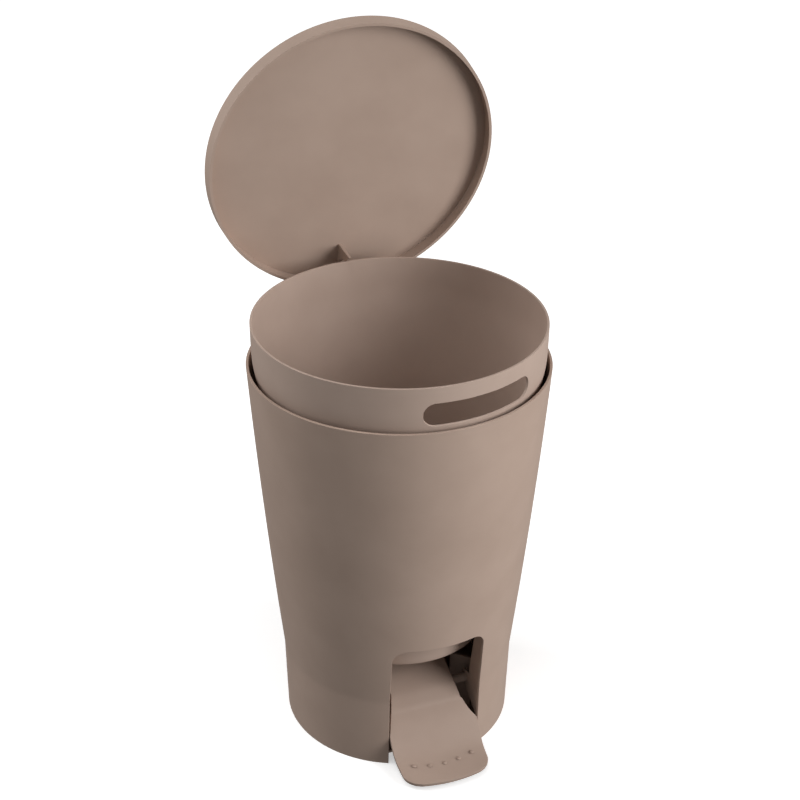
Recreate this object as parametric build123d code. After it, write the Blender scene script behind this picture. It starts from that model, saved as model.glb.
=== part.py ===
from build123d import *
from math import cos, degrees, hypot, radians, sin, sqrt
import os

os.makedirs("parts", exist_ok=True)

# Outer shell
shell_height = 265.0
rim_radius = 96.6
foot_height = 51.8
foot_radius = 77.7
base_radius = 76.2
swell_height = 183.7
swell_bulge = 1.1
shell_wall = 1.7
floor_gap = 1.6
floor_thickness = 2.0

# Pedal opening in the shell
opening_width = 63.6
opening_height = 97.0
opening_corner = 9.5
opening_side_gap = 0.8
cheek_thickness = 1.8
cheek_behind_axle = 5.5
cheek_clear_of_bucket = 1.5

# Bucket, drawn where the pressed pedal holds it
bucket_lift = 20.9
bucket_rim_above_shell = 28.5
bucket_side_gap = 1.6
collar_height = 23.0
collar_taper = 0.4
shoulder_bend = 80.0
bucket_bottom_height = 69.0
bucket_bottom_radius = 60.3
bucket_wall = 1.5
bucket_bottom_corner = 2.5

# Handle slot in the bucket's collar
slot_angle = 12.0
slot_half_angle = 24.0
slot_height = 15.5
slot_below_rim = 18.4

# Lid, drawn open
lid_open_angle = 80.0
lid_inside_rim = 0.1
lid_skirt_taper = 0.8
lid_wall = 1.8
lid_gap = 0.4
lid_depth = 11.0
lid_top_thickness = 1.7
lid_corner = 1.8

# Lid hinge
hinge_behind_rim = 6.0
hinge_pin_radius = 2.0
hinge_knuckle_radius = 4.6
knuckle_inner = 5.0
knuckle_outer = 13.4
ear_thickness = 3.0
running_clearance = 0.06
seat_clearance = 0.02
side_gap = 0.5

# Cam fin under the lid
fin_thickness = 1.8
fin_left_of_middle = 3.5
fin_reach = 34.0
fin_tip_below_edge = 12.0
fin_tip_lead = 2.7
rim_contact_radius = 0.85
cam_clearance = 0.45

# Pedal, drawn pressed
pivot_y = -46.5
pivot_z = 38.8
axle_radius = 3.0
pedal_skin = 2.2
foot_front_narrowing = 1.5
riser_narrowing = 3.0
arm_half_width = 22.4
arm_left_of_middle = 2.0
arm_end_y = 18.0
arm_gap = 0.6
arm_nose_radius = 3.0
web_thickness = 2.0
boss_radius = 5.2
foot_front_y = -105.5
foot_front_z = 6.4
foot_slope = 0.10
foot_front_arc = 85.0
foot_corner = 9.0
pip_radius = 1.3
pip_spacing = 10.2
pip_row_behind_front = 15.0
pip_height = 0.6

# Rests for the bucket on the shell's floor
rest_gap = 0.4
rest_thickness = 2.0
rest_inner = 40.0
rest_outer = 56.0

taper_share = (swell_height - foot_height) / (shell_height - foot_height)
swell_radius = foot_radius + (rim_radius - foot_radius) * taper_share + swell_bulge
bucket_rim_height = shell_height + bucket_rim_above_shell
bucket_radius = rim_radius - shell_wall - bucket_side_gap
lid_radius = rim_radius - lid_inside_rim
hinge_y = rim_radius + hinge_behind_rim
hinge_z = shell_height + lid_gap
floor_top = floor_gap + floor_thickness
lid_top = hinge_z + lid_depth
lid_inside = lid_top - lid_top_thickness
fin_front = hinge_y - fin_reach
foot_half_width = opening_width / 2 - opening_side_gap
foot_front_half_width = foot_half_width - foot_front_narrowing
riser_half_width = foot_half_width - riser_narrowing
arm_left = arm_half_width + arm_left_of_middle
arm_right = arm_half_width - arm_left_of_middle


def save(shape, name):
    shape.label = name
    export_step(shape, os.path.join("parts", name + ".step"))


def lid_opened(shape):
    return shape.rotate(Axis((0, hinge_y, hinge_z), (1, 0, 0)), -lid_open_angle)


def shell_wall_solid():
    """Wall as one turned moulding: straight foot, then a gently curved taper to the rim."""
    outside = Line((base_radius, 0), (foot_radius, foot_height))
    side = Spline(
        (foot_radius, foot_height), (swell_radius, swell_height), (rim_radius, shell_height)
    )
    inside_side = Spline(
        (rim_radius - shell_wall, shell_height),
        (swell_radius - shell_wall, swell_height),
        (foot_radius - shell_wall, foot_height),
    )
    inside = Line((foot_radius - shell_wall, foot_height), (base_radius - shell_wall, 0))
    edges = [
        outside,
        side,
        Line((rim_radius, shell_height), (rim_radius - shell_wall, shell_height)),
        inside_side,
        inside,
        Line((base_radius - shell_wall, 0), (base_radius, 0)),
    ]
    face = Plane.XZ * make_face(Wire(edges))
    return revolve(face, Axis.Z)


def shell_inner_solid():
    """The space inside the shell wall, grown by half a wall so what fills it joins the wall."""
    reach = shell_wall / 2
    points = [
        (0, 0),
        (base_radius - reach, 0),
        (foot_radius - reach, foot_height),
        (swell_radius - reach, swell_height),
        (0, swell_height),
    ]
    return revolve(Plane.XZ * make_face(Polyline(*points, close=True)), Axis.Z)


def opening_tool():
    """Pedal opening with rounded top corners, cut straight through the front wall and floor edge."""
    outline = RectangleRounded(opening_width, 2 * opening_height, opening_corner)
    depth = rim_radius
    return Pos(0, pivot_y - 15.0, 0) * extrude(Plane.XZ * outline, depth)


def cheek(side):
    """Upright panel behind one edge of the opening, holding the pedal's axle."""
    front = -rim_radius
    seat = bucket_bottom_height - bucket_lift
    spread = (bucket_radius - bucket_bottom_radius) / (bucket_rim_height - bucket_bottom_height)
    inner = opening_width / 2
    low_reach = bucket_bottom_radius + cheek_clear_of_bucket
    top_reach = low_reach + spread * (opening_height - seat) + cheek_clear_of_bucket
    low_rear = -sqrt(low_reach**2 - inner**2)
    top_rear = -sqrt(top_reach**2 - inner**2)
    points = [
        (front, pivot_z - 24.0),
        (pivot_y, pivot_z - 7.0),
        (pivot_y + cheek_behind_axle, pivot_z - 4.0),
        (pivot_y + cheek_behind_axle, pivot_z + 4.0),
        (low_rear, seat - 1.5),
        (low_rear, seat + 4.0),
        (top_rear, opening_height),
        (front, opening_height),
    ]
    outline = make_face(Polyline(*points, close=True))
    panel = extrude(Plane.YZ * outline, cheek_thickness)
    offset = inner if side > 0 else -inner - cheek_thickness
    hole = Rot(0, 90, 0) * Cylinder(axle_radius + seat_clearance, 4 * opening_width)
    return (Pos(offset, 0, 0) * panel - Pos(0, pivot_y, pivot_z) * hole) & shell_inner_solid()


def bucket_rest(angle):
    """Radial rib standing on the floor under the seated bucket."""
    top = bucket_bottom_height - bucket_lift - rest_gap
    length = rest_outer - rest_inner
    rib = Box(length, rest_thickness, top - floor_gap, align=(Align.MIN, Align.CENTER, Align.MIN))
    return Rot(0, 0, angle) * Pos(rest_inner, 0, floor_gap) * rib


def hinge_ear(side):
    """Ear standing out behind the rim that holds one lid hinge pin."""
    inner = knuckle_outer + side_gap
    foot = hinge_z - 22.0
    outline = Polyline(
        (rim_radius - shell_wall - 2.0, foot + 2.0),
        (hinge_y + hinge_knuckle_radius, hinge_z),
        (hinge_y - hinge_knuckle_radius, hinge_z),
        (rim_radius - shell_wall - 0.5, shell_height - 2.0),
        close=True,
    )
    plate = extrude(Plane.YZ * make_face(outline), ear_thickness)
    turned = Rot(0, 90, 0) * Cylinder(
        hinge_knuckle_radius, ear_thickness, align=(Align.CENTER, Align.CENTER, Align.MIN)
    )
    plate += Pos(0, hinge_y, hinge_z) * turned
    hole = Rot(0, 90, 0) * Cylinder(hinge_pin_radius + seat_clearance, 8 * ear_thickness)
    plate -= Pos(0, hinge_y, hinge_z) * hole
    offset = inner if side > 0 else -inner - ear_thickness
    return Pos(offset, 0, 0) * plate


def outer_shell():
    wall = shell_wall_solid()
    cavity = shell_inner_solid()
    floor = Pos(0, 0, floor_gap) * Cylinder(
        rim_radius, floor_thickness, align=(Align.CENTER, Align.CENTER, Align.MIN)
    )
    body = wall + (floor & cavity)
    body -= opening_tool()
    for side in (-1, 1):
        body += cheek(side)
        body += hinge_ear(side)
    for angle in (45, 135, 225, 315):
        body += bucket_rest(angle)
    return body


def bucket_skin(inset, top):
    """Solid of revolution for the bucket's outside, or its inside when moved in by the inset."""
    collar_bottom = (bucket_radius - collar_taper - inset, bucket_rim_height - collar_height)
    low_corner = (bucket_bottom_radius - inset, bucket_bottom_height + inset)
    points = [
        (0, low_corner[1]),
        low_corner,
        collar_bottom,
        (bucket_radius - inset, bucket_rim_height),
        (bucket_radius - inset, top),
        (0, top),
    ]
    outline = make_face(Polyline(*points, close=True))
    corner = outline.vertices().sort_by_distance((*low_corner, 0))[0]
    outline = fillet(corner, bucket_bottom_corner)
    shoulder = outline.vertices().sort_by_distance((*collar_bottom, 0))[0]
    outline = fillet(shoulder, shoulder_bend)
    return revolve(Plane.XZ * outline, Axis.Z)


def handle_slot_tool():
    """Round-ended slot following the collar."""
    radius = slot_height / 2
    end_angle = slot_half_angle - degrees(radius / bucket_radius)
    height = bucket_rim_height - slot_below_rim
    middle = Plane.XZ * Pos(bucket_radius, height) * Rectangle(20, slot_height)
    band = Rot(0, 0, -90 + slot_angle - end_angle) * revolve(middle, Axis.Z, 2 * end_angle)
    tool = band
    for sign in (-1, 1):
        angle = -90 + slot_angle + sign * end_angle
        end = Rot(0, 90, 0) * Cylinder(radius, 20)
        tool += Rot(0, 0, angle) * Pos(bucket_radius, 0, height) * end
    return tool


def inner_bucket():
    body = bucket_skin(0, bucket_rim_height + 1.0) - bucket_skin(bucket_wall, bucket_rim_height + 3.0)
    body -= Pos(0, 0, bucket_rim_height) * Cylinder(
        2 * bucket_radius, 10, align=(Align.CENTER, Align.CENTER, Align.MIN)
    )
    rim_edges = body.edges().group_by(Axis.Z)[-1]
    body = fillet(rim_edges, 0.6)
    return body - handle_slot_tool()


def cam_locus():
    """Path of the bucket's back rim seen from the closed lid, shifted clear of the rim."""
    steps = 14
    beyond = 2
    rim_y = bucket_radius - rim_contact_radius
    path = []
    for i in range(steps + beyond):
        share = i / steps
        angle = radians(lid_open_angle * share)
        rim_z = bucket_rim_height - bucket_lift * (1 - share) - rim_contact_radius
        dy = rim_y - hinge_y
        dz = rim_z - hinge_z
        y = hinge_y + dy * cos(angle) - dz * sin(angle)
        z = hinge_z + dy * sin(angle) + dz * cos(angle)
        path.append((y, z))
    reach = rim_contact_radius + cam_clearance
    shifted = []
    for i in range(1, steps + beyond):
        y0, z0 = path[i - 1]
        y1, z1 = path[i]
        size = hypot(y1 - y0, z1 - z0)
        normal = ((z1 - z0) / size, -(y1 - y0) / size)
        if normal[1] < 0 and normal[0] > 0:
            normal = (-normal[0], -normal[1])
        shifted.append(((y0 + y1) / 2 + reach * normal[0], (z0 + z1) / 2 + reach * normal[1]))
    return shifted


def cam_fin():
    """Thin triangular fin under the lid that the bucket's back rim pushes."""
    tip_z = hinge_z - fin_tip_below_edge
    edge = [point for point in cam_locus() if point[0] > fin_front + 0.8 and point[1] < lid_inside]
    points = [
        (edge[0][0] + 2.0, lid_inside + 0.5),
        *edge,
        (fin_front - fin_tip_lead, tip_z),
        (fin_front, lid_inside + 0.5),
    ]
    face = make_face(Polyline(*points, close=True))
    fin = extrude(Plane.YZ * face, fin_thickness / 2, both=True)
    return Pos(-fin_left_of_middle, 0, 0) * fin


def lid_knuckle(side):
    """Round knuckle with a short arm joining it to the lid's skirt."""
    length = knuckle_outer - knuckle_inner
    low = (Align.CENTER, Align.CENTER, Align.MIN)
    turned = Rot(0, 90, 0) * Cylinder(hinge_knuckle_radius, length, align=low)
    body = Pos(0, hinge_y, hinge_z) * turned
    arm = Polyline(
        (lid_radius - lid_skirt_taper - lid_wall + 0.2, hinge_z + 3.0),
        (lid_radius - lid_wall + 0.2, lid_top - lid_corner),
        (hinge_y, hinge_z + hinge_knuckle_radius),
        (hinge_y - hinge_knuckle_radius, hinge_z + 0.6),
        close=True,
    )
    body += extrude(Plane.YZ * make_face(arm), length)
    hole = Rot(0, 90, 0) * Cylinder(hinge_pin_radius + running_clearance, 4 * length)
    body -= Pos(0, hinge_y, hinge_z) * hole
    offset = knuckle_inner if side > 0 else -knuckle_outer
    return Pos(offset, 0, 0) * body


def lid_cone(inset, bottom, top):
    """Solid filling the lid's slightly tapered skirt, moved in by the inset."""
    lean = lid_skirt_taper / lid_depth
    points = [
        (0, bottom),
        (lid_radius - lid_skirt_taper - inset + lean * (bottom - hinge_z), bottom),
        (lid_radius - lid_skirt_taper - inset + lean * (top - hinge_z), top),
        (0, top),
    ]
    return revolve(Plane.XZ * make_face(Polyline(*points, close=True)), Axis.Z)


def lid():
    outside = lid_cone(0, hinge_z, lid_top)
    outside = fillet(outside.edges().group_by(Axis.Z)[-1], lid_corner)
    inside = lid_cone(lid_wall, hinge_z - 1.0, lid_inside)
    inside = fillet(inside.edges().group_by(Axis.Z)[-1], 0.8)
    body = outside - inside
    body += cam_fin()
    for side in (-1, 1):
        body += lid_knuckle(side)
    return lid_opened(body)


def hinge_pin(side):
    """Headed pin through one ear into the lid's knuckle."""
    inner = knuckle_inner + 0.4
    outer = knuckle_outer + side_gap + ear_thickness + 0.1
    low = (Align.CENTER, Align.CENTER, Align.MIN)
    shank = Pos(inner, 0, 0) * (Rot(0, 90, 0) * Cylinder(hinge_pin_radius, outer - inner, align=low))
    head = Pos(outer, 0, 0) * (Rot(0, 90, 0) * Cylinder(hinge_pin_radius + 1.2, 1.2, align=low))
    pin = shank + head
    if side < 0:
        pin = mirror(pin, Plane.YZ)
    return Pos(0, hinge_y, hinge_z) * pin


def pedal_arm_top():
    return bucket_bottom_height - arm_gap


def offset_down(points, distance):
    """Points moved square to the curve through them, to its lower side."""
    moved = []
    for i, (y, z) in enumerate(points):
        y0, z0 = points[max(i - 1, 0)]
        y1, z1 = points[min(i + 1, len(points) - 1)]
        size = hypot(y1 - y0, z1 - z0)
        moved.append((y + distance * (z1 - z0) / size, z - distance * (y1 - y0) / size))
    return moved


def pedal_section():
    """Side section of the pedal's skin: foot plate, curved riser, sloping band and lifting arm."""
    riser = [
        (foot_front_y, foot_front_z),
        (-93.5, foot_front_z + 1.2),
        (-82.5, foot_front_z + 4.4),
        (-73.5, foot_front_z + 11.8),
        (-67.3, foot_front_z + 21.5),
        (-64.0, foot_front_z + 31.0),
    ]
    under_riser = offset_down(riser, pedal_skin)
    band_top = (-54.0, 44.6)
    arm_end = (arm_end_y, pedal_arm_top())
    under_arm = (arm_end_y, pedal_arm_top() - pedal_skin)
    under_band_top = (band_top[0] + 0.9, band_top[1] - pedal_skin)
    edges = [
        Spline(*riser, tangents=[(1.0, foot_slope), (0.30, 1.0)]),
        Line(riser[-1], band_top),
        Line(band_top, arm_end),
        Line(arm_end, under_arm),
        Line(under_arm, under_band_top),
        Line(under_band_top, under_riser[-1]),
        Spline(*under_riser[::-1], tangents=[(-0.30, -1.0), (-1.0, -foot_slope)]),
        Line(under_riser[0], riser[0]),
    ]
    return make_face(Wire(edges))


def pedal_plan():
    """Plan outline of the pedal: wide rounded foot, narrowing to the lifting arm.

    The arm sits a little to the left, so the axle's right end shows beside it.
    """
    centre_y = foot_front_y + foot_front_arc
    side_y = centre_y - sqrt(foot_front_arc**2 - foot_front_half_width**2)
    arc = ThreePointArc(
        (-foot_front_half_width, side_y), (0, foot_front_y), (foot_front_half_width, side_y)
    )
    points = [
        (foot_front_half_width, side_y),
        (foot_half_width, -78.0),
        (foot_half_width, -70.0),
        (arm_right + 1.0, -63.5),
        (arm_right, -54.0),
        (arm_right, arm_end_y + 10.0),
        (-arm_left, arm_end_y + 10.0),
        (-arm_left, -54.0),
        (-riser_half_width, -64.0),
        (-foot_half_width, -70.0),
        (-foot_half_width, -78.0),
        (-foot_front_half_width, side_y),
    ]
    outline = make_face(Wire([arc, *Polyline(*points).edges()]))
    corners = [v for v in outline.vertices() if abs(v.Y - side_y) < 0.01]
    return fillet(corners, foot_corner)


def pedal_web(side):
    """Side web under the arm with the boss that turns on the axle."""
    points = [
        (-62.5, 36.6),
        (-53.2, 43.0),
        (arm_end_y, pedal_arm_top() - 0.6),
        (arm_end_y, pedal_arm_top() - 8.0),
        (pivot_y + 6.0, pivot_z - boss_radius),
        (pivot_y, pivot_z - boss_radius),
    ]
    web = extrude(Plane.YZ * make_face(Polyline(*points, close=True)), web_thickness)
    low = (Align.CENTER, Align.CENTER, Align.MIN)
    web += Pos(0, pivot_y, pivot_z) * (Rot(0, 90, 0) * Cylinder(boss_radius, web_thickness, align=low))
    offset = arm_right - web_thickness if side > 0 else -arm_left
    return Pos(offset, 0, 0) * web


def pedal_pips():
    """Five small grip pips parallel to the foot's front edge."""
    body = None
    arc = foot_front_arc - pip_row_behind_front
    for i in range(-2, 3):
        x = i * pip_spacing
        y = foot_front_y + foot_front_arc - sqrt(arc**2 - x**2)
        slope = (y - foot_front_y) * foot_slope
        pip = Pos(x, y, foot_front_z + slope - 1.0) * Cylinder(
            pip_radius, 1.0 + pip_height, align=(Align.CENTER, Align.CENTER, Align.MIN)
        )
        body = pip if body is None else body + pip
    return body


def pedal():
    width = 2 * foot_half_width
    skin = extrude(Plane.YZ * pedal_section(), width / 2 + 1.0, both=True)
    body = skin & extrude(pedal_plan(), 100.0)
    for side in (-1, 1):
        body += pedal_web(side)
    nose = Rot(0, 90, 0) * Cylinder(arm_nose_radius, 2 * arm_half_width)
    body += Pos(-arm_left_of_middle, arm_end_y, pedal_arm_top() - arm_nose_radius) * nose
    body += pedal_pips()
    hole = Rot(0, 90, 0) * Cylinder(axle_radius + running_clearance, 4 * foot_half_width)
    body -= Pos(0, pivot_y, pivot_z) * hole
    return body


def pedal_axle():
    length = opening_width + 2 * cheek_thickness + 1.0
    return Pos(0, pivot_y, pivot_z) * (Rot(0, 90, 0) * Cylinder(axle_radius, length))


save(outer_shell(), "outer_shell")
save(inner_bucket(), "inner_bucket")
save(lid(), "lid")
save(hinge_pin(-1), "lid_hinge_pin_left")
save(hinge_pin(1), "lid_hinge_pin_right")
save(pedal(), "pedal")
save(pedal_axle(), "pedal_axle")
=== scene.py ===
from math import cos, pi, radians, sin

import bpy
import numpy as np
from mathutils import Matrix, Vector


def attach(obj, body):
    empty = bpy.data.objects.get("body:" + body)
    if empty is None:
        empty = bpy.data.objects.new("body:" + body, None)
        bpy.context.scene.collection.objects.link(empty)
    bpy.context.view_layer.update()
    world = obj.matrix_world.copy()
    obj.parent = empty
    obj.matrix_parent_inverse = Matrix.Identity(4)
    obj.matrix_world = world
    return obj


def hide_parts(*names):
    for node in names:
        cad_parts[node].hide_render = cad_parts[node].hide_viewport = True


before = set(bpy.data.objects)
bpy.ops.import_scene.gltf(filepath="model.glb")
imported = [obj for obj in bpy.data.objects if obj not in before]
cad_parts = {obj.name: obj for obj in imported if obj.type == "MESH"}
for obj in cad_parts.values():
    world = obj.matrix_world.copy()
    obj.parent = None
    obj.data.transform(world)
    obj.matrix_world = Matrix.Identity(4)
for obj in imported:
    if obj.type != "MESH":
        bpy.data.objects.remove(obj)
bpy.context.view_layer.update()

# Outer shell wall: one thin round wall, injection moulded in polypropylene with the
# floor and cheeks. It stands on its own foot ring, widens from a straight foot to the
# rim, and has a round-cornered opening in front for the pedal.
mm = 0.001
shell_height = 265.0 * mm
shell_wall = 1.7 * mm
shell_edge = 0.6 * mm
foot_height = 51.8 * mm
swell_height = 183.7 * mm
base_radius = 76.2 * mm
foot_radius = 77.7 * mm
swell_radius = 90.5 * mm
rim_radius = 96.6 * mm
opening_half = 31.8 * mm
opening_top = 97.0 * mm
opening_corner = 9.5 * mm


def node(tree, kind, inputs=None, **settings):
    """Adds one node: settings are its own properties, inputs are values or links by socket."""
    made = tree.nodes.new(kind)
    for key, value in settings.items():
        setattr(made, key, value)
    for key, value in (inputs or {}).items():
        socket = made.inputs[key]
        if isinstance(value, bpy.types.NodeSocket):
            tree.links.new(value, socket)
        else:
            socket.default_value = value
    return made


def linear(hex_text, alpha=1.0):
    """sRGB hex to linear: v/12.92 below 0.04045, else ((v + 0.055)/1.055) to the 2.4."""
    v = np.array([int(hex_text[i:i + 2], 16) for i in (0, 2, 4)]) / 255
    v = np.where(v <= 0.04045, v / 12.92, ((v + 0.055) / 1.055) ** 2.4)
    return (*v.tolist(), alpha)


def moulded_polypropylene(name, colour, shade, roughness=0.55):
    """Injection-moulded polypropylene, coloured right through: an even, slightly waxy satin.

    The wall's slow cooling leaves shallow waves about 45 mm long, the etched mould leaves
    a fine grain (0.5 mm, drawn coarse enough to show), and the pigment clouds a little.
    """
    material = bpy.data.materials.new(name)
    material.use_nodes = True
    tree = material.node_tree
    tree.nodes.clear()
    place = node(tree, "ShaderNodeTexCoord").outputs["Object"]
    cloud = node(tree, "ShaderNodeTexNoise", {
        "Vector": place, "Scale": 1 / (35 * mm), "Detail": 3.0})
    ramp = node(tree, "ShaderNodeValToRGB", {"Fac": cloud.outputs["Fac"]})
    ramp.color_ramp.elements[0].position = 0.3
    ramp.color_ramp.elements[0].color = linear(shade)
    ramp.color_ramp.elements[1].position = 0.7
    ramp.color_ramp.elements[1].color = linear(colour)
    smear = node(tree, "ShaderNodeTexNoise", {"Vector": place, "Scale": 1 / (12 * mm), "Detail": 4.0})
    gloss = node(tree, "ShaderNodeMapRange", {
        "Value": smear.outputs["Fac"], "From Min": 0.3, "From Max": 0.7,
        "To Min": roughness - 0.04, "To Max": roughness + 0.05})
    wave = node(tree, "ShaderNodeTexNoise", {"Vector": place, "Scale": 1 / (45 * mm), "Detail": 1.0})
    sink = node(tree, "ShaderNodeBump", {
        "Height": wave.outputs["Fac"], "Strength": 0.25, "Distance": 1.2 * mm})
    grain = node(tree, "ShaderNodeTexNoise", {"Vector": place, "Scale": 1 / (0.5 * mm), "Detail": 2.0})
    skin = node(tree, "ShaderNodeBump", {
        "Height": grain.outputs["Fac"], "Strength": 0.12, "Distance": 0.05 * mm,
        "Normal": sink.outputs["Normal"]})
    shader = node(tree, "ShaderNodeBsdfPrincipled", {
        "Base Color": ramp.outputs["Color"], "Roughness": gloss.outputs["Result"],
        "IOR": 1.49, "Specular IOR Level": 0.2, "Subsurface Weight": 0.0,
        "Normal": skin.outputs["Normal"]})
    node(tree, "ShaderNodeOutputMaterial", {"Surface": shader.outputs["BSDF"]})
    return material


shell_plastic = moulded_polypropylene("moulded polypropylene shell", "B6A092", "B09A8C")


def solid(name, points, faces, material, body, nodes):
    """Makes one smooth mesh object of the points, in metres, and ties it to the frame."""
    mesh = bpy.data.meshes.new(name)
    mesh.from_pydata(np.asarray(points, float).tolist(), [], faces)
    mesh.validate()
    mesh.polygons.foreach_set("use_smooth", [True] * len(mesh.polygons))
    mesh.materials.append(material)
    piece = bpy.data.objects.new(name, mesh)
    bpy.context.collection.objects.link(piece)
    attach(piece, body)
    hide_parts(*nodes)
    return piece


def edge_softened(piece, wall, edge, segments=3, limit=40):
    """Gives an open skin its wall inwards, and rounds the edges by the mould's small radius."""
    if wall:
        thick = piece.modifiers.new("wall", "SOLIDIFY")
        thick.thickness = wall
        thick.offset = -1
        thick.use_even_offset = True
    round_off = piece.modifiers.new("edges", "BEVEL")
    round_off.width = edge
    round_off.segments = segments
    round_off.limit_method = "ANGLE"
    round_off.angle_limit = radians(limit)
    even = piece.modifiers.new("normals", "WEIGHTED_NORMAL")
    even.keep_sharp = True
    return piece


def ring_skin(heights, radii, gaps, open_rows, centre, across_out, across_in):
    """A turned skin with one window.

    Row i lies at height z_i and radius R_i. Angle a runs from -Y towards +X, so a point is
    (R sin a, -R cos a, z). Columns are spread over the ring outside centre +- gap_i, then
    inside it, so the window's upright edges follow the columns. The faces inside the
    window's rows are left out.
    """
    z = heights[:, None]
    r = radii[:, None]
    g = gaps[:, None]
    out = centre + g + (2 * pi - 2 * g) * np.linspace(0, 1, across_out + 1)[None, :]
    inside = centre - g + 2 * g * np.linspace(0, 1, across_in + 1)[None, 1:-1]
    a = np.concatenate([out, inside], axis=1)
    points = np.stack([r * np.sin(a), -r * np.cos(a), z + 0 * a], axis=-1)
    rows, columns = a.shape
    i, k = np.meshgrid(np.arange(rows - 1), np.arange(columns), indexing="ij")
    after = (k + 1) % columns
    quads = np.stack([i * columns + k, i * columns + after,
                      (i + 1) * columns + after, (i + 1) * columns + k], axis=-1)
    keep = (k < across_out) | ~open_rows[:-1, None]
    quads = quads[keep]
    used, quads = np.unique(quads, return_inverse=True)
    return points.reshape(-1, 3)[used], quads.reshape(-1, 4)


def smooth_radius(z):
    """Radius of the shell at height z: straight in the foot, then a gentle curve to the rim."""
    foot = np.interp(z, [0, foot_height], [base_radius, foot_radius])
    heights = [foot_height, swell_height, shell_height]
    curve = np.polyfit(heights, [foot_radius, swell_radius, rim_radius], 2)
    return np.where(z < foot_height, foot, np.polyval(curve, z))


corner_turn = np.linspace(0, pi / 2, 13)
shell_z = np.concatenate([
    np.linspace(0, opening_top - opening_corner, 40)[:-1],
    opening_top - opening_corner + opening_corner * np.sin(corner_turn),
    np.linspace(opening_top, shell_height, 60)[1:]])
over = np.clip(shell_z - (opening_top - opening_corner), 0, opening_corner)
half_width = opening_half - opening_corner + np.sqrt(opening_corner**2 - over**2)
shell_r = smooth_radius(shell_z)
top_row = np.searchsorted(shell_z, opening_top - 1e-9)
gap_angle = np.arcsin(half_width / shell_r)
gap_angle[top_row:] = gap_angle[top_row]
points, faces = ring_skin(shell_z, shell_r, gap_angle, shell_z < opening_top - 1e-9, 0.0, 200, 26)
shell = solid("outer_shell_wall", points, faces, shell_plastic, "shell", ["outer_shell"])
edge_softened(shell, shell_wall, shell_edge)


# Shell floor, cheeks, bucket rests and hinge ears: all part of the same moulding as the
# wall. The cheeks are upright panels beside the pedal opening that hold its axle, the
# rests are four ribs under the bucket, and the ears behind the rim hold the lid's pins.
cheek_thickness = 1.8 * mm
cheek_foot = 20.0 * mm
cheek_top = 96.5 * mm
pivot = np.array([0.0, -46.5, 38.8]) * mm
hinge = np.array([0.0, 102.6, 265.4]) * mm
knuckle_radius = 4.6 * mm
ear_thickness = 3.0 * mm
ear_inner = 13.9 * mm
rest_inner = 40.0 * mm
rest_outer = 56.0 * mm
rest_top = 47.7 * mm
rest_half = 1.0 * mm
floor_under = 1.6 * mm
floor_top = 3.6 * mm
floor_radius = 75.2 * mm
floor_front = -61.5 * mm


def plate(outline, low, high):
    """A flat panel: the outline (y, z) carried along X from low to high, ends closed."""
    outline = np.asarray(outline, float)
    n = len(outline)
    low_side = np.column_stack([np.full(n, low), outline])
    high_side = np.column_stack([np.full(n, high), outline])
    k = np.arange(n)
    y, z = outline.T
    area = np.sum(y * np.roll(z, -1) - np.roll(y, -1) * z)
    sides = np.stack([k, (k + 1) % n, n + (k + 1) % n, n + k], axis=-1)
    caps = [list(range(n))[::-1], list(range(n, 2 * n))]
    faces = sides.tolist() + caps
    if area < 0:
        faces = [face[::-1] for face in faces]
    return np.vstack([low_side, high_side]), faces


def turned_rod(profile, axis_point, around=48):
    """A turned piece along X: profile rows are (x, radius), and the ends are closed."""
    profile = np.asarray(profile, float)
    a = np.linspace(0, 2 * pi, around, endpoint=False)[None, :]
    x = profile[:, :1]
    r = profile[:, 1:]
    points = np.stack([x + 0 * a, axis_point[1] + r * np.cos(a), axis_point[2] + r * np.sin(a)], axis=-1)
    rows = len(profile)
    i, k = np.meshgrid(np.arange(rows - 1), np.arange(around), indexing="ij")
    after = (k + 1) % around
    quads = np.stack([i * around + k, i * around + after,
                      (i + 1) * around + after, (i + 1) * around + k], axis=-1).reshape(-1, 4)
    faces = quads.tolist()
    faces.append(list(range(around))[::-1])
    faces.append(list(range((rows - 1) * around, rows * around)))
    return points.reshape(-1, 3), [face[::-1] for face in faces]


def joined(*parts):
    """Puts several closed shapes into one list of points and faces."""
    points, faces, start = [], [], 0
    for part_points, part_faces in parts:
        points.append(part_points)
        faces += [[start + int(v) for v in face] for face in part_faces]
        start += len(part_points)
    return np.vstack(points), faces


def wall_reach(z, x):
    """How far forward a panel at x must go to end inside the shell's wall at height z."""
    return -np.sqrt((smooth_radius(z) - shell_wall / 2) ** 2 - x**2)


def cheek(side):
    """Panel outline: front edge in the wall, rear edge clear of the bucket, rounded foot."""
    middle = opening_half + cheek_thickness / 2
    z = np.linspace(cheek_foot, cheek_top, 30)
    front = np.column_stack([wall_reach(z, middle), z])
    rear = np.array([
        [-63.0, 96.5], [-53.2, 52.0], [-53.2, 46.6], [-43.0, 43.6],
        [-41.2, 42.0], [-41.2, 35.6], [-43.0, 33.8], [-46.5, 31.8]]) * mm
    return plate(np.vstack([front, rear]), side * opening_half, side * (opening_half + cheek_thickness))


def rest(angle):
    """Upright rib under the bucket, rooted in the floor and turned about Z to its angle."""
    root = (floor_under + floor_top) / 2
    outline = [[rest_inner, root], [rest_outer, root], [rest_outer, rest_top], [rest_inner, rest_top]]
    points, faces = plate(outline, -rest_half, rest_half)
    turn = np.array(Matrix.Rotation(radians(angle), 3, "Z"))
    return points @ turn.T, faces


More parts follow.
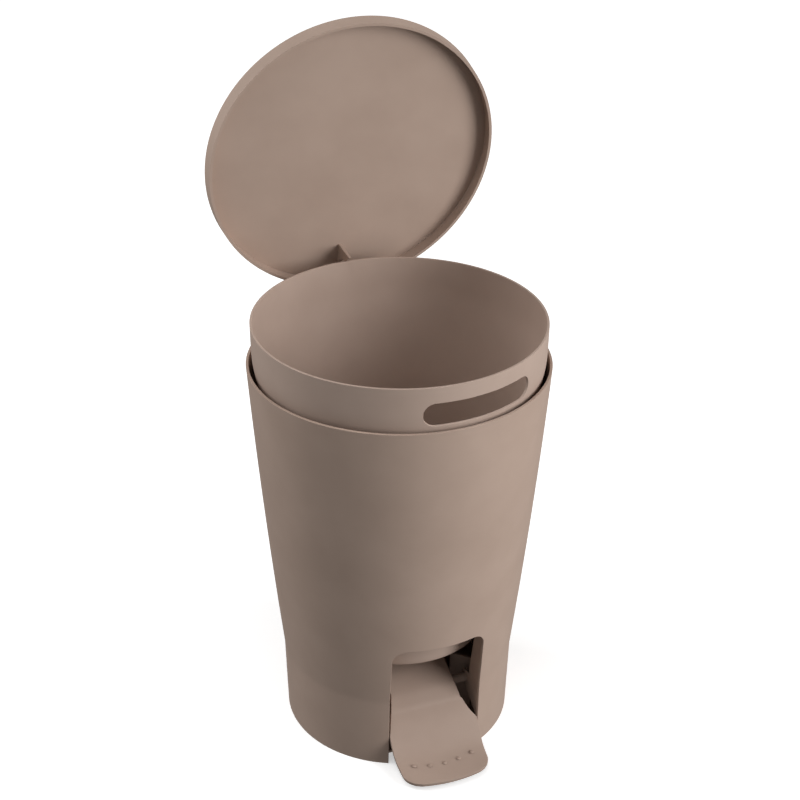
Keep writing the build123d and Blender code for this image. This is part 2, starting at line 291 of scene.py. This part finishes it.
def ear(side):
    """Hinge ear: a gusset rising from the wall to a round eye on the hinge axis."""
    turn = np.linspace(-0.25 * pi, pi, 22)
    eye = np.column_stack([
        hinge[1] + knuckle_radius * np.cos(turn), hinge[2] + knuckle_radius * np.sin(turn)])
    foot = np.array([[94.4, 263.0], [92.9, 245.4]]) * mm
    low, high = sorted([side * ear_inner, side * (ear_inner + ear_thickness)])
    return plate(np.vstack([eye, foot]), low, high)


floor_turn = np.linspace(0, 2 * pi, 120, endpoint=False)
count = len(floor_turn)
floor_x = floor_radius * np.sin(floor_turn)
floor_y = np.maximum(-floor_radius * np.cos(floor_turn), floor_front)
floor_points = np.vstack([
    np.column_stack([floor_x, floor_y, np.full(count, height)]) for height in (floor_under, floor_top)])
k = np.arange(count)
floor_faces = np.stack([k, (k + 1) % count, count + (k + 1) % count, count + k], axis=-1).tolist()
floor_faces += [list(range(count))[::-1], list(range(count, 2 * count))]
rests = [rest(angle) for angle in (45, 135, 225, 315)]
points, faces = joined((floor_points, floor_faces), cheek(1), cheek(-1), *rests, ear(1), ear(-1))
fittings = solid("outer_shell_fittings", points, faces, shell_plastic, "shell",
                 ["outer_shell"])
edge_softened(fittings, 0, 0.3 * mm, 2)

# Inner bucket: one thin polypropylene bucket that stands in the shell and lifts out by
# the round-ended handle slot cut in its upright collar. Below the collar a rounded
# shoulder turns in to the tapered body. Its rim is rounded where hands take it.
bucket_rim = 293.5 * mm
bucket_wall = 1.5 * mm
bucket_edge = 0.55 * mm
bottom_height = 69.0 * mm
bottom_radius = 60.3 * mm
bottom_corner = 2.5 * mm
collar_radius = 93.3 * mm
collar_height = 23.0 * mm
collar_taper = 0.4 * mm
bend_low = 264.6 * mm
bend_high = 276.4 * mm
# Painted light: the bucket is the same polypropylene as the shell, but its colour is set lighter so that
# its inside reads as lit more brightly.
bucket_plastic_painted_light = moulded_polypropylene("moulded polypropylene bucket", "B9A497", "B39E91")
slot_radius = 7.75 * mm
slot_middle = bucket_rim - 18.4 * mm
slot_centre = radians(12.0)
slot_half = radians(24.0) - slot_radius / collar_radius
collar_bottom = bucket_rim - collar_height
cone_slope = (collar_radius - collar_taper - bottom_radius) / (collar_bottom - bottom_height)
collar_slope = collar_taper / collar_height


def bucket_radius(z):
    """Cone below, upright collar above, and between them a parabola that meets both slopes."""
    cone = bottom_radius + (z - bottom_height) * cone_slope
    collar = collar_radius + (z - bucket_rim) * collar_slope
    bend = cone + (collar_slope - cone_slope) / (2 * (bend_high - bend_low)) * (z - bend_low) ** 2
    return np.where(z < bend_low, cone, np.where(z > bend_high, collar, bend))


bottom_turn = np.linspace(0, radians(81), 8)[1:]
flat_radius = bottom_radius - bottom_corner
bottom_r = np.concatenate([
    [0.8 * mm], np.linspace(6 * mm, flat_radius, 12), flat_radius + bottom_corner * np.sin(bottom_turn)])
bottom_z = np.concatenate([
    np.full(13, bottom_height), bottom_height + bottom_corner * (1 - np.cos(bottom_turn))])
slot_turn = np.linspace(0, pi, 25)
slot_z = slot_middle - slot_radius * np.cos(slot_turn)
upper_z = np.concatenate([
    np.linspace(bottom_z[-1] + 1.5 * mm, 262 * mm, 60), np.linspace(264 * mm, slot_z[0], 5)[:-1],
    slot_z, np.linspace(slot_z[-1], bucket_rim, 9)[1:]])
bucket_z = np.concatenate([bottom_z, upper_z])
bucket_r = np.concatenate([bottom_r, bucket_radius(upper_z)])
in_slot = (bucket_z >= slot_z[0] - 1e-9) & (bucket_z < slot_z[-1] - 1e-9)
lift = np.clip(bucket_z - slot_middle, -slot_radius, slot_radius)
slot_gap = slot_half + np.sqrt(slot_radius**2 - lift**2) / bucket_r.clip(80 * mm)
across_out, across_slot = 180, 40
points, faces = ring_skin(bucket_z, bucket_r, slot_gap, in_slot, slot_centre, across_out, across_slot)
bottom_ring = list(range(across_out + across_slot))[::-1]
bucket = solid("inner_bucket_shell", points, faces.tolist() + [bottom_ring], bucket_plastic_painted_light, "bucket",
               ["inner_bucket"])
edge_softened(bucket, bucket_wall, bucket_edge)

# Lid: a flat round polypropylene moulding with a shallow skirt, open at 80 degrees. Two
# knuckles at its back turn on the hinge pins, and a thin fin under it is what the
# bucket's back rim pushes to raise it.
lid_plastic = moulded_polypropylene("moulded polypropylene lid", "B6A092", "B09A8C")
lid_radius = 96.5 * mm
lid_depth = 11.0 * mm
lid_corner = 1.8 * mm
lid_taper = 0.8 * mm
lid_wall = 1.8 * mm
lid_edge = 0.4 * mm
lid_open = radians(80)


def opened(points):
    """Turns points of the closed lid up about the hinge axis."""
    turn = np.array(Matrix.Rotation(-lid_open, 3, "X"))
    return (points - hinge) @ turn.T + hinge


lid_turn = np.linspace(0, pi / 2, 9)
lid_top = hinge[2] + lid_depth
lid_r = np.concatenate([
    lid_radius - lid_taper * np.linspace(1, lid_corner / lid_depth, 10),
    lid_radius - lid_taper * lid_corner / lid_depth - lid_corner * (1 - np.cos(lid_turn[1:])),
    np.linspace(lid_radius - lid_corner, 1 * mm, 40)[1:]])
lid_z = np.concatenate([
    np.linspace(hinge[2], lid_top - lid_corner, 10),
    lid_top - lid_corner + lid_corner * np.sin(lid_turn[1:]),
    np.full(39, lid_top)])
across_out, across_in = 180, 12
even_gap = np.full(len(lid_r), 0.2)
no_window = np.zeros(len(lid_r), bool)
points, faces = ring_skin(lid_z, lid_r, even_gap, no_window, 0.0, across_out, across_in)
crown = list(range(len(points) - across_out - across_in, len(points)))
lid = solid("lid_plate", opened(points), faces.tolist() + [crown], lid_plastic, "lid", ["lid"])
edge_softened(lid, lid_wall, lid_edge)

fin_outline = np.array([
    [92.5, 274.9], [90.5, 273.9], [87.6, 274.0], [84.4, 273.3], [80.9, 271.4], [77.5, 268.5],
    [74.5, 264.4], [73.3, 261.9], [72.3, 259.2], [65.9, 253.4], [68.6, 274.9]]) * mm
fin_left, fin_right = -4.4 * mm, -2.6 * mm
knuckle_inner = 5.0 * mm
knuckle_outer = 13.4 * mm


def knuckle(side):
    """Hinge knuckle: a round eye with a short arm into the lid's skirt."""
    turn = np.linspace(-pi, 0.42 * pi, 22)
    eye = np.column_stack([
        hinge[1] + knuckle_radius * np.cos(turn), hinge[2] + knuckle_radius * np.sin(turn)])
    arm = np.array([[95.1, 274.5], [95.1, 268.4], [97.4, 266.2]]) * mm
    low, high = sorted([side * knuckle_inner, side * knuckle_outer])
    return plate(np.vstack([eye, arm]), low, high)


points, faces = joined(plate(fin_outline, fin_left, fin_right), knuckle(1), knuckle(-1))
fin = solid("lid_fin_and_knuckles", opened(points), faces, lid_plastic, "lid", ["lid"])
edge_softened(fin, 0, 0.3 * mm, 2)

# Lid hinge pins: two short headed steel pins, one from each side, pushed through the
# shell's ears into the lid's knuckles.
pin_steel = bpy.data.materials.new("drawn steel pin")
pin_steel.use_nodes = True
tree = pin_steel.node_tree
tree.nodes.clear()
place = node(tree, "ShaderNodeTexCoord").outputs["Object"]
streak = node(tree, "ShaderNodeTexNoise", {"Vector": place, "Scale": 1 / (0.8 * mm), "Detail": 3.0})
gloss = node(tree, "ShaderNodeMapRange", {"Value": streak.outputs["Fac"], "To Min": 0.28, "To Max": 0.45})
metal = node(tree, "ShaderNodeBsdfPrincipled", {
    "Base Color": linear("B4B4B2"), "Metallic": 1.0, "Roughness": gloss.outputs["Result"]})
node(tree, "ShaderNodeOutputMaterial", {"Surface": metal.outputs["BSDF"]})
pin_profile = np.array([
    [5.4, 1.7], [5.7, 2.0], [17.0, 2.0], [17.0, 2.9], [17.3, 3.2], [17.9, 3.2], [18.2, 2.8]]) * mm
for side, name in ((-1, "left"), (1, "right")):
    points, faces = turned_rod(pin_profile, hinge)
    points[:, 0] *= side
    if side < 0:
        faces = [face[::-1] for face in faces]
    pin = solid("lid_pin_" + name, points, faces, pin_steel, "shell", ["lid_hinge_pin_" + name])
    edge_softened(pin, 0, 0.1 * mm, 2, 60)

# Pedal: one polypropylene moulding, pressed down. A wide foot plate with five grip pips
# sweeps up through a curved riser and a sloping band to the arm under the bucket; webs
# under its sides carry the axle.
# Painted shade: the pedal is the same polypropylene as the shell, but its colour is set darker to stand
# in for the shade that falls on the foot plate.
pedal_plastic_painted_shade = moulded_polypropylene("moulded polypropylene pedal", "AC978A", "A69184")
pedal_skin = 2.2 * mm
pedal_edge = 0.7 * mm
section_y = np.array([-105.5, -93.5, -82.5, -73.5, -67.3, -64.0, -54.0, 18.0])
section_z = np.array([6.4, 7.6, 10.8, 18.2, 27.9, 37.4, 44.6, 68.4])
front_arc = 85.0
foot_corner = 9.0
foot_back_y = -76.0
arm_left, arm_right = 24.4, 20.4
web_thickness = 2.0
nose_radius = 3.0
pip_spacing = 10.2
pip_row_back = 15.0
pip_radius = 1.6


def spline_through(y, z, start, end, steps):
    """Cubic Hermite curve through the points, with end slopes given and inner ones averaged."""
    points = np.column_stack([y, z])
    tangent = np.gradient(points, axis=0)
    tangent[0] = np.array(start) * np.linalg.norm(points[1] - points[0])
    tangent[-1] = np.array(end) * np.linalg.norm(points[-1] - points[-2])
    t = np.linspace(0, len(points) - 1, steps)
    i = np.minimum(t.astype(int), len(points) - 2)
    u = (t - i)[:, None]
    return ((2 * u**3 - 3 * u**2 + 1) * points[i] + (u**3 - 2 * u**2 + u) * tangent[i]
            + (3 * u**2 - 2 * u**3) * points[i + 1] + (u**3 - u**2) * tangent[i + 1])


riser = spline_through(section_y[:6], section_z[:6], (1.0, 0.1), (0.29, 0.96), 61)
band = np.linspace([section_y[5], section_z[5]], [section_y[6], section_z[6]], 10)[1:]
arm = np.linspace([section_y[6], section_z[6]], [section_y[7], section_z[7]], 20)[1:]
section = np.vstack([riser, band, arm])
for _ in range(4):
    section[1:-1] = (section[:-2] + 2 * section[1:-1] + section[2:]) / 4
row_y, row_z = section.T
front_y = row_y[0]
fore = np.clip(row_y - front_y, 0, foot_corner)
corner = foot_corner - np.sqrt(foot_corner**2 - (foot_corner - fore) ** 2)
left = np.interp(row_y, [front_y, -78.0, -70.0, -64.0, -54.0], [29.3, 31.0, 31.0, 28.0, arm_left])
right_side = np.interp(row_y, [front_y, -78.0, -70.0, -63.5, -54.0], [29.3, 31.0, 31.0, 21.4, arm_right])
left = (left - corner)[:, None]
right_side = (right_side - corner)[:, None]
x = -left + (left + right_side) * np.linspace(0, 1, 41)[None, :]
sag = front_arc - np.sqrt(front_arc**2 - x**2)
fade = np.clip((foot_back_y - row_y) / (foot_back_y - front_y), 0, 1)[:, None]
y = row_y[:, None] + sag * fade
z = row_z[:, None] + 0 * x
points = np.stack([x, y, z], axis=-1).reshape(-1, 3) * mm
rows, columns = x.shape
i, k = np.meshgrid(np.arange(rows - 1), np.arange(columns - 1), indexing="ij")
faces = np.stack([i * columns + k, i * columns + k + 1,
                  (i + 1) * columns + k + 1, (i + 1) * columns + k], axis=-1).reshape(-1, 4)
pedal = solid("pedal_skin", points, faces.tolist(), pedal_plastic_painted_shade, "pedal", ["pedal"])
edge_softened(pedal, pedal_skin, pedal_edge)


def pip(x_mm, levels=5, around=20):
    """Grip pip: a low dome of rings, on an arc parallel to the foot's front edge."""
    arc = front_arc - pip_row_back
    y_mm = front_y + front_arc - np.sqrt(arc**2 - x_mm**2)
    z_mm = np.interp(y_mm, section_y, section_z)
    turn = np.linspace(0, pi / 2, levels + 1)[:-1, None]
    a = np.linspace(0, 2 * pi, around, endpoint=False)[None, :]
    points = np.stack([
        x_mm + pip_radius * np.cos(turn) * np.cos(a), y_mm + pip_radius * np.cos(turn) * np.sin(a),
        z_mm - 0.3 + 0.9 * np.sin(turn) + 0 * a], axis=-1).reshape(-1, 3) * mm
    i, k = np.meshgrid(np.arange(levels - 1), np.arange(around), indexing="ij")
    after = (k + 1) % around
    quads = np.stack([i * around + k, i * around + after,
                      (i + 1) * around + after, (i + 1) * around + k], axis=-1)
    caps = [list(range(around))[::-1], list(range(len(points) - around, len(points)))]
    return points, quads.reshape(-1, 4).tolist() + caps


def web(low):
    """Side web under the arm from x = low, deepening to the axle boss and thinning to the nose."""
    outline = np.array([
        [-62.5, 36.6], [-53.2, 43.0], [18.0, 67.8], [18.0, 60.4],
        [-40.5, 33.6], [-43.5, 33.6], [-46.5, 33.6], [-52.0, 34.4]]) * mm
    return plate(outline, low * mm, (low + web_thickness) * mm)


nose_profile = np.array([
    [-arm_left, nose_radius - 0.4], [0.4 - arm_left, nose_radius],
    [arm_right - 0.4, nose_radius], [arm_right, nose_radius - 0.4]]) * mm
nose = turned_rod(nose_profile, np.array([0, 18.0, 65.4]) * mm, 24)
pips = [pip(pip_spacing * j) for j in range(-2, 3)]
points, faces = joined(web(-arm_left), web(arm_right - web_thickness), nose, *pips)
webs = solid("pedal_webs_and_pips", points, faces, pedal_plastic_painted_shade, "pedal", ["pedal"])
edge_softened(webs, 0, 0.25 * mm, 2)

# Pedal axle: a plain round polypropylene rod held in the two cheeks; its bare end shows
# between the pedal and the right cheek.
axle_plastic = moulded_polypropylene("moulded polypropylene axle", "B09C90", "A8968A", 0.5)
axle_profile = np.array([[-34.1, 2.5], [-33.6, 3.0], [33.6, 3.0], [34.1, 2.5]]) * mm
points, faces = turned_rod(axle_profile, pivot)
axle = solid("pedal_axle_rod", points, faces, axle_plastic, "shell", ["pedal_axle"])
edge_softened(axle, 0, 0.15 * mm, 2)

# Studio: a plain pale floor, even white surroundings, a broad key light from the right,
# a weaker broad fill from the left and a small light from above, and a long-lens camera
# looking down at the front.
heading = radians(20.74)
pitch = radians(28.93)
roll = radians(0.45)
ahead = Vector((sin(heading), cos(heading), 0))
right = Vector((cos(heading), -sin(heading), 0))
world = bpy.data.worlds.new("studio")
world.use_nodes = True
world.node_tree.nodes["Background"].inputs["Color"].default_value = (1, 1, 1, 1)
world.node_tree.nodes["Background"].inputs["Strength"].default_value = 0.19
bpy.context.scene.world = world
bpy.context.scene.view_settings.view_transform = "Standard"

floor_half = 6.0
floor_corners = [(-floor_half, -floor_half, 0), (floor_half, -floor_half, 0),
                 (floor_half, floor_half, 0), (-floor_half, floor_half, 0)]
floor_mesh = bpy.data.meshes.new("studio_floor")
floor_mesh.from_pydata(floor_corners, [], [(0, 1, 2, 3)])
floor = bpy.data.objects.new("studio_floor", floor_mesh)
bpy.context.collection.objects.link(floor)
floor.visible_diffuse = False
floor.visible_glossy = False

# Painted light: the white paper floor emits light, and emits less near the object, which paints a darker
# zone round the base so that its soft shadow still shows.
paper = bpy.data.materials.new("matt white paper floor with painted glow")
paper.use_nodes = True
floor_mesh.materials.append(paper)
tree = paper.node_tree
tree.nodes.clear()
place = node(tree, "ShaderNodeTexCoord").outputs["Object"]
away = node(tree, "ShaderNodeVectorMath", {0: place}, operation="LENGTH")
glow = node(tree, "ShaderNodeMapRange", {
    "Value": away.outputs["Value"], "From Min": 0.15, "From Max": 1.2, "To Min": 0.45, "To Max": 0.74})
surface = node(tree, "ShaderNodeBsdfPrincipled", {
    "Base Color": (0.93, 0.93, 0.93, 1), "Roughness": 0.9, "Emission Color": (1, 1, 1, 1),
    "Emission Strength": glow.outputs["Result"]})
node(tree, "ShaderNodeOutputMaterial", {"Surface": surface.outputs["BSDF"]})


def soft_light(name, place, aim, width, height, power):
    """Rectangular soft light at place, facing aim."""
    lamp = bpy.data.lights.new(name, "AREA")
    lamp.shape = "RECTANGLE"
    lamp.size = width
    lamp.size_y = height
    lamp.energy = power
    holder = bpy.data.objects.new(name, lamp)
    holder.location = place
    holder.rotation_euler = (Vector(aim) - Vector(place)).to_track_quat("-Z", "Y").to_euler()
    bpy.context.collection.objects.link(holder)


centre = Vector((0, 0, 0.2))


def around(turn, distance, height):
    """A place at the turn, in degrees to the right of the camera's side of the object."""
    a = radians(turn)
    return (right * sin(a) - ahead * cos(a)) * distance + Vector((0, 0, height))


soft_light("key", around(64, 1.6, 0.72), centre, 0.9, 1.4, 27)
soft_light("fill", around(-96, 1.4, 1.05), centre, 0.9, 1.3, 15.5)
soft_light("top", around(-20, 0.8, 2.3), centre, 0.8, 0.8, 8)

camera_data = bpy.data.cameras.new("view")
camera_data.lens = 75.344
camera_data.sensor_width = 36
camera = bpy.data.objects.new("view", camera_data)
look = ahead * cos(pitch) - Vector((0, 0, sin(pitch)))
level_up = right.cross(look)
across = right * cos(roll) + level_up * sin(roll)
up = level_up * cos(roll) - right * sin(roll)
turn = Matrix((across, up, -look)).transposed().to_4x4()
camera.matrix_world = Matrix.Translation(Vector((-0.33120, -0.87649, 0.75304))) @ turn
bpy.context.collection.objects.link(camera)
bpy.context.scene.camera = camera
